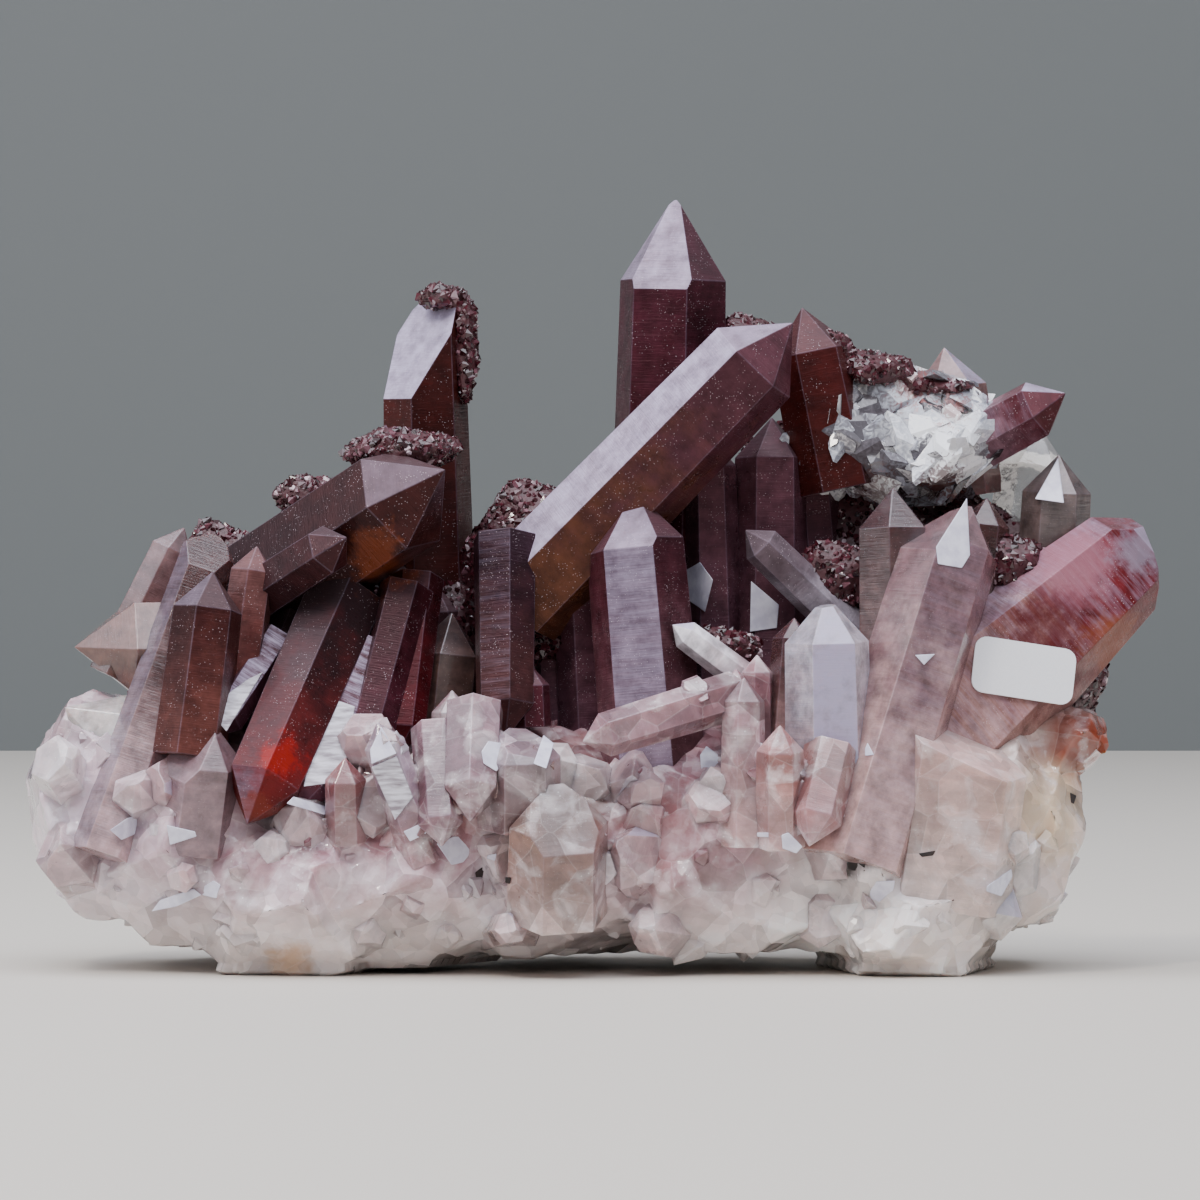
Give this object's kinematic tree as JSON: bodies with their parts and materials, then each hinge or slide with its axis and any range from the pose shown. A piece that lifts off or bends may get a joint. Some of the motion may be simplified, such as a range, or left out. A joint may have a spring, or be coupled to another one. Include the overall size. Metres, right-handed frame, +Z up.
{
  "type": "hematoid quartz in matrix",
  "caption": "Cluster of six-sided iron-red and smoky quartz crystals, drusy in places, grown on a pale milky quartz matrix, with a small blank paper label.",
  "frame": {"origin": "middle of the specimen's box, on the surface it stands on", "axes": "+X along the specimen to the right as it is shown, +Y away from the side that is shown, +Z up"},
  "size_m": [0.2268, 0.0888, 0.1543],
  "materials": {
    "milky_quartz": "vitreous, frosted",
    "iron_red_quartz": "vitreous, satin",
    "white_paper": "satin"
  },
  "bodies": {
    "root": {"matrix": "milky_quartz", "hematoid_quartz": "iron_red_quartz", "paper_label": "white_paper"}
  },
  "joints": []
}
